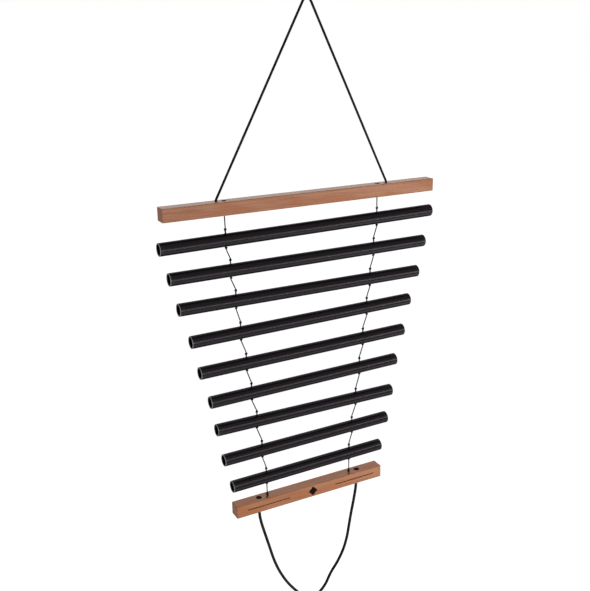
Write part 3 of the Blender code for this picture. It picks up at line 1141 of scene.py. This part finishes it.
@dataclass
class ChimeTube:
    """A tuned length of drawn tube with two pairs of string holes."""

    number: int
    diameter: float = 0.016
    wall: float = 0.0014
    rim: float = 0.00045  # rounding of the outer rims
    inner_rim: float = 0.0003
    hole_radius: float = 0.00125
    hole_flare: float = 0.0003  # how much wider its broken edge is
    flare_top: float = 0.00005  # the edge's ends, from the tube's outside
    flare_foot: float = -0.00025
    sides: int = 96
    hole_sides: int = 32
    # Rings of points where the rubs need them, from the ends and from the holes
    end_rings: tuple[float, ...] = (0.0007, 0.0016, 0.0035, 0.007, 0.014)
    hole_rings: tuple[float, ...] = (0.003, 0.006, 0.012)
    end_rub: float = 0.006  # how far the rub reaches in from an end
    hole_rub: float = 0.004  # and out from a hole
    least_rub: float = 0.12  # share everywhere else

    def __post_init__(self) -> None:
        """Find the tube's frame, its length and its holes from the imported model."""
        self.node = f"chime_tube_{self.number}"
        lift = Vector(joint(f"tube_{self.number}_lift")["axis"]).normalized()
        low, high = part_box(self.node)
        self.frame = hanging_frame((low + high) / 2, BACK.cross(lift))
        self.up = self.frame.col[2].to_3d()
        self.length = (high.x - low.x - self.diameter * abs(lift.x)) / lift.z
        self.holes = {
            side: (self.frame.inverted() @ end_ring(f"string_{self.number}_{side}", False)).x
            for side in SIDES
        }

    def hole(self, side: str) -> Vector:
        """The middle of a pair of holes, on the tube's axis."""
        return self.frame @ Vector((self.holes[side], 0.0, 0.0))

    def profile(self) -> list[tuple[float, float]]:
        """Draw the wall's outline.

        Returns:
            Its points, as radius and place along the tube.
        """
        outer, inner, half = self.diameter / 2, self.diameter / 2 - self.wall, self.length / 2
        rim, lip = self.rim, self.inner_rim
        rings = {sign * (half - reach) for reach in self.end_rings for sign in SIDES.values()}
        for x in self.holes.values():
            rings |= {x + sign * reach for reach in self.hole_rings for sign in SIDES.values()}
        places = sorted(rings)
        return [
            *rounded((outer - rim, rim - half), rim, -90),
            *((outer, place) for place in places),
            *rounded((outer - rim, half - rim), rim, 0),
            *rounded((inner + lip, half - lip), lip, 90),
            *((inner, place) for place in reversed(places)),
            *rounded((inner + lip, lip - half), lip, 180),
        ]

    def drills(self) -> Skins:
        """Make the cutters of the string holes, with their broken edges.

        Returns:
            The cutters.
        """
        cutters = Skins()
        edge, narrow = self.diameter / 2, self.hole_radius
        wide = narrow + self.hole_flare
        ends = [
            (wide, edge + OVERRUN), (wide, edge + self.flare_top), (narrow, edge + self.flare_foot)
        ]
        profile = [*((radius, -height) for radius, height in ends), *reversed(ends)]
        for x in self.holes.values():
            place = Matrix.Translation((x, 0.0, 0.0))
            cutters.add(turned(profile, self.hole_sides, place))
        return cutters

    def build(self) -> Piece:
        """Make the tube.

        Returns:
            The piece.
        """
        name = f"black_tube_{self.number}"
        skins = Skins()
        skins.add(turned(self.profile(), self.sides, Matrix.Rotation(pi / 2, 4, "Y")), looped=True)
        piece = shown(name, skins.mesh(name), BLACK_TUBE, TUBE_RIM)
        cut(piece, self.drills())
        for face in piece.data.polygons:
            if abs(face.center.x) > self.length / 2 - self.rim:
                face.material_index = 1
        self.rub(piece.data)
        crisp(piece)
        piece.matrix_world = self.frame
        return placed(piece, f"tube_{self.number}", self.node)

    def rub(self, mesh: bpy.types.Mesh) -> None:
        """Set how far each point is rubbed: most at the ends and the string holes.

        Args:
            mesh: The tube's mesh.
        """
        spots = [
            Vector((x, 0.0, sign * self.diameter / 2))
            for x in self.holes.values() for sign in SIDES.values()
        ]
        layer = mesh.attributes.get("wear") or mesh.attributes.new("wear", "FLOAT", "POINT")
        values = []
        for vertex in mesh.vertices:
            from_end = self.length / 2 - abs(vertex.co.x)
            from_hole = min((vertex.co - spot).length for spot in spots) - self.hole_radius
            near = min(from_end / self.end_rub, from_hole / self.hole_rub)
            values.append(self.least_rub + (1 - self.least_rub) * max(0.0, 1 - near))
        layer.data.foreach_set("value", values)


@dataclass
class KnottedStrings:
    """The two strings that carry one tube, from the bar or tube above it."""

    tube: ChimeTube
    hinges: Mapping[str, Vector]  # the middle of each one's rounded upper end
    lift: float = 0.003  # play of the tube below its upper knots
    apart: float = 0.00036  # string and tail from their middle, where they lie doubled
    trimmed: float = 0.0016  # tail below the lower knot
    trimmed_way: tuple[float, float] = (0.5, -0.8)  # outward and up
    turn_on: float = 1.7  # from tube to tube, so that no two knots look alike
    knots_turn: float = 2.0  # from the upper knot to the lower one, both in radians

    def build(self) -> dict[str, Vector]:
        """Make both strings.

        Returns:
            The hinges of the next ones.
        """
        return {
            side: self.string(side, phase=self.turn_on * self.tube.number + sign)
            for side, sign in SIDES.items()
        }

    def string(self, side: str, phase: float) -> Vector:
        """Make one string.

        Args:
            side: Which of the two it is.
            phase: Where its knots' turns start, in radians.

        Returns:
            The hinge of the next string.
        """
        number, up = self.tube.number, self.tube.up
        hole, radius = self.tube.hole(side), self.tube.diameter / 2
        shift = (up.cross(BACK) * cos(phase) + BACK * sin(phase)) * self.apart
        knot_foot = hole + up * (radius + self.lift + GAP)
        wall = hole + up * radius
        foot = hole - up * (radius + GAP + LOWER_KNOT.height)
        skins = Skins()
        STRING.lay_along(skins, [
            self.hinges[side],
            knot_foot + up * UPPER_KNOT.height,
            knot_foot + shift,
            wall + shift,
            hole,
            foot - up * GAP,
        ])
        UPPER_KNOT.tie(skins, STRING, knot_foot, up, phase)
        TAIL.lay_along(skins, [
            knot_foot + up * TAIL.diameter - shift,
            knot_foot - shift,
            wall - shift,
            wall - up * (self.tube.wall + TAIL.diameter) - shift,
        ])
        end = LOWER_KNOT.tie(skins, STRING, foot, up, phase + self.knots_turn)
        outward = (end - foot - up * (end - foot).dot(up)).normalized()
        way = outward * self.trimmed_way[0] + up * self.trimmed_way[1]
        TAIL.lay_along(skins, [end, end + way * self.trimmed])
        name = f"knotted_string_{number}_{side}"
        piece = shown(name, skins.mesh(name), STRING_YARN)
        placed(piece, f"strings_{number}", f"string_{number}_{side}")
        return foot - up * HINGE_DROP


@dataclass
class LastStrings:
    """The two strings that carry the lower bar, with their end knots in its pockets."""

    number: int
    bar: WoodenBar
    hinges: Mapping[str, Vector]
    tail: tuple[float, float] = (0.0008, 0.0080)  # the loose end's, from the hole
    tail_way: tuple[float, float] = (-0.47, -0.88)  # left and forward on the bar

    def build(self) -> None:
        """Make both strings."""
        up = self.bar.up
        for side, sign in SIDES.items():
            node = f"string_{self.number}_{side}"
            bottom = end_ring(node, top=False)
            mouth = bottom - up * (self.bar.frame.inverted() @ bottom).z
            skins = Skins()
            STRING.lay_along(skins, [
                self.hinges[side],
                mouth + up * (GAP + UPPER_KNOT.height),
                mouth,
                bottom + up * STRING.radius,
            ])
            UPPER_KNOT.tie(skins, STRING, mouth + up * GAP, up, phase=2.0 * sign)
            last = END_KNOT.tie(skins, STRING, bottom, up, phase=sign)
            STRING.lay_along(skins, [last, last - up * TAIL.diameter])
            lying = mouth + up * (TAIL.radius + GAP / 3)
            outward = (self.bar.frame.to_3x3() @ Vector((*self.tail_way, 0.0))).normalized()
            TAIL.lay_along(skins, [lying + outward * reach for reach in self.tail])
            name = f"knotted_string_{self.number}_{side}"
            piece = shown(name, skins.mesh(name), STRING_YARN)
            placed(piece, "lower_bar", node)


# Studio


def seen_share(tree: Tree) -> Source:
    """Tell rays that show the background, straight or by a reflection, from the rest.

    Args:
        tree: The node tree.

    Returns:
        1 for those rays, and 0 for the rest.
    """
    path = add_node(tree, "LightPath").outputs
    share = path["Is Camera Ray"]
    for other in ("Is Glossy Ray", "Is Transmission Ray"):
        share = add_node(tree, "Math", {0: share, 1: path[other]}, operation="MAXIMUM")
    return share


@dataclass(frozen=True)
class WhitePaper(Finish):
    """Matt white paper, which shows white and keeps the object's faint shadow."""

    colour: str = "#e6e6e6"
    near: float = 0.60  # what makes it white to the eye, beside the light on it
    far: float = 0.84
    reach: float = 4.0  # how far the lamps' own light goes

    def shade(self, tree: Tree) -> Source:
        """Make the finish's nodes.

        Args:
            tree: The material's node tree.

        Returns:
            The shader to put on the surface.
        """
        paper = add_node(tree, "BsdfDiffuse", {"Color": linear(self.colour)})
        place = add_node(tree, "TexCoord").outputs["Object"]
        distance = add_node(tree, "VectorMath", {0: place}, operation="LENGTH").outputs["Value"]
        inputs = {
            "Value": distance, "From Max": self.reach, "To Min": self.near, "To Max": self.far,
        }
        glow = add_node(tree, "Emission", {"Strength": add_node(tree, "MapRange", inputs)})
        lit = add_node(tree, "AddShader", {0: paper, 1: glow})
        return add_node(tree, "MixShader", {"Fac": seen_share(tree), 1: paper, 2: lit})


@dataclass(frozen=True)
class Softbox:
    """A large soft lamp, unseen by the camera."""

    name: str
    place: Triple
    aim: Triple
    width: float
    height: float
    radiance: float

    def build(self) -> None:
        """Make the lamp."""
        light = bpy.data.lights.new(self.name, "AREA")
        light.shape = "RECTANGLE"
        light.size, light.size_y = self.width, self.height
        light.energy = self.radiance * self.width * self.height * pi
        lamp = bpy.data.objects.new(self.name, light)
        lamp.location = self.place
        way = Vector(self.aim) - Vector(self.place)
        lamp.rotation_euler = way.to_track_quat("-Z", "Y").to_euler()
        lamp.visible_camera = False
        bpy.context.scene.collection.objects.link(lamp)


@dataclass(frozen=True)
class Viewpoint:
    """The photograph's camera."""

    place: Triple = (-0.48388, -0.89055, -0.02270)
    azimuth: float = 27.340  # degrees to the right of +Y
    elevation: float = -18.367  # degrees above the horizon
    roll: float = 1.229  # degrees clockwise
    focal_pixels: float = 830.2
    picture_width: int = 590
    sensor: float = 36.0  # millimetres

    def build(self) -> None:
        """Make the camera."""
        data = bpy.data.cameras.new("camera")
        data.sensor_fit = "HORIZONTAL"
        data.sensor_width = self.sensor
        data.lens = self.focal_pixels * self.sensor / self.picture_width
        data.clip_start = 0.01
        camera = bpy.data.objects.new("camera", data)
        camera.matrix_world = (
            Matrix.Translation(self.place)
            @ Matrix.Rotation(-radians(self.azimuth), 4, "Z")
            @ Matrix.Rotation(radians(90 + self.elevation), 4, "X")
            @ Matrix.Rotation(-radians(self.roll), 4, "Z")
        )
        bpy.context.scene.collection.objects.link(camera)
        bpy.context.scene.camera = camera


@dataclass
class Studio:
    """A white room: pale floor, pale air and a few soft lamps."""

    floor_height: float = -1.6
    floor_size: float = 16.0
    ambient: float = 0.26  # of the air round the object, which the eye sees as plain white
    softboxes: Sequence[Softbox] = (
        # Two strips side by side give the tubes their long highlight
        Softbox("front_softbox", (0.05, -0.66, -0.40), (0.05, 0.0, -0.40), 0.66, 0.12, 11.0),
        Softbox("right_softbox", (0.71, -0.66, -0.40), (0.71, 0.0, -0.40), 0.62, 0.10, 21.0),
        Softbox("low_softbox", (0.15, -0.70, -1.35), (0.15, -0.70, -0.5), 1.1, 1.1, 1.9),
        Softbox("low_right_softbox", (1.15, -0.60, -1.35), (1.15, -0.60, -0.5), 0.85, 0.9, 5.0),
        Softbox("left_softbox", (-1.30, -0.50, -0.20), (0.0, 0.0, -0.45), 0.8, 1.0, 1.6),
        Softbox("back_softbox", (0.45, 1.15, 0.35), (0.1, 0.0, -0.40), 1.6, 0.8, 2.7),
    )

    def build(self) -> None:
        """Make the floor, the lamps and the world."""
        half, z = self.floor_size / 2, self.floor_height
        corners = [(-half, -half, z), (half, -half, z), (half, half, z), (-half, half, z)]
        mesh = bpy.data.meshes.new("floor")
        mesh.from_pydata(corners, [], [(0, 1, 2, 3)])
        shown("floor", mesh, WhitePaper("matt_white_paper"))
        for softbox in self.softboxes:
            softbox.build()
        world = bpy.data.worlds.new("white_room")
        world.use_nodes = True
        tree = world.node_tree
        tree.nodes.clear()
        inputs: dict[str | int, Any] = {"Fac": seen_share(tree)}
        for place, strength in ((1, self.ambient), (2, 1.0)):
            air = {"Color": linear("#ffffff"), "Strength": strength}
            inputs[place] = add_node(tree, "Background", air)
        add_node(tree, "OutputWorld", {"Surface": add_node(tree, "MixShader", inputs)})
        bpy.context.scene.world = world
        bpy.context.scene.view_settings.view_transform = "Standard"


HANGER_ROUTE = (  # x and z from the hook point
    (-0.10330, -0.18130), (-0.08110, -0.14080), (-0.05900, -0.10030), (-0.03680, -0.05970),
    (-0.01470, -0.01920), (-0.00750, -0.00610), (-0.00508, -0.00170), (-0.00396, -0.00026),
    (-0.00245, 0.00076), (-0.00071, 0.00126), (0.00111, 0.00119), (0.00281, 0.00057),
    (0.00424, -0.00054), (0.00522, -0.00198), (0.00740, -0.00640), (0.01380, -0.01970),
    (0.03360, -0.06060), (0.05350, -0.10150), (0.07330, -0.14240), (0.09310, -0.18330),
)
GRIP_ROUTE = (  # x and z from the middle between its ends
    (-0.0764, -0.0077), (-0.0744, -0.0196), (-0.0691, -0.0406), (-0.0635, -0.0618),
    (-0.0578, -0.0834), (-0.0496, -0.1062), (-0.0367, -0.1312), (-0.0229, -0.1506),
    (-0.0120, -0.1632), (-0.0005, -0.1700), (0.0110, -0.1683), (0.0236, -0.1573),
    (0.0336, -0.1401), (0.0458, -0.1237), (0.0552, -0.1064), (0.0612, -0.0879),
    (0.0648, -0.0688), (0.0683, -0.0498), (0.0722, -0.0311), (0.0756, -0.0123),
)


def main() -> None:
    """Build the camera, the cords, the bars, the tubes, their strings and the studio."""
    logging.basicConfig(level=logging.INFO, format="%(message)s")
    Viewpoint().build()
    last = TUBE_COUNT + 1
    upper_bar = WoodenBar(
        "long_wooden_bar", "upper_bar", "upper_wood", UPPER_WOOD, UPPER_SIZE,
        along=Vector(joint("upper_bar_swing")["axis"]),
        bores=[(HANGER_BORE, "hanger_knot", True), (STRING_BORE, "string_top", True)],
    )
    grip_swing = joint("grip_swing")
    lower_string_bore = replace(STRING_BORE, pocket_on_top=False)
    lower_bar = EngravedBar(
        "short_wooden_bar", "lower_bar", "lower_wood", LOWER_WOOD, LOWER_SIZE,
        along=Vector(grip_swing["axis"]),
        bores=[(GRIP_BORE, "grip_knot", True), (lower_string_bore, f"string_{last}", False)],
    )
    FreeCord(
        "hanging_cord", "hanger_cord", "hanger", upper_bar, "hanger_knot",
        knot=Knot(0.0062, 0.0054), knot_on_top=False, yarn=HANGER_CORD, diameter=0.0026,
        length=0.508, hang=Hang.TAUT, route=HANGER_ROUTE, origin=Vector(),
    ).build()
    FreeCord(
        "grip_loop", "grip_cord", "grip", lower_bar, "grip_knot",
        knot=Knot(0.0064, 0.0056), knot_on_top=True, yarn=GRIP_CORD, diameter=0.0036,
        length=0.3895, hang=Hang.HANGING, route=GRIP_ROUTE, origin=Vector(grip_swing["pos_m"]),
    ).build()
    upper_bar.build()
    lower_bar.build()
    hinges = {}
    for side, sign in SIDES.items():
        end = BarEnd(
            f"string_top_{side}", "upper_bar", "string", STRING, END_KNOT, STRING_YARN,
            knot_on_top=True,
        )
        end.build(f"string_end_knot_{side}", upper_bar.up, phase=sign)
        hinges[side] = end.mouth() - upper_bar.up * HINGE_DROP
    for number in range(1, TUBE_COUNT + 1):
        tube = ChimeTube(number)
        tube.build()
        hinges = KnottedStrings(tube, hinges).build()
    LastStrings(last, lower_bar, hinges).build()
    Studio().build()


if __name__ == "__main__":
    main()
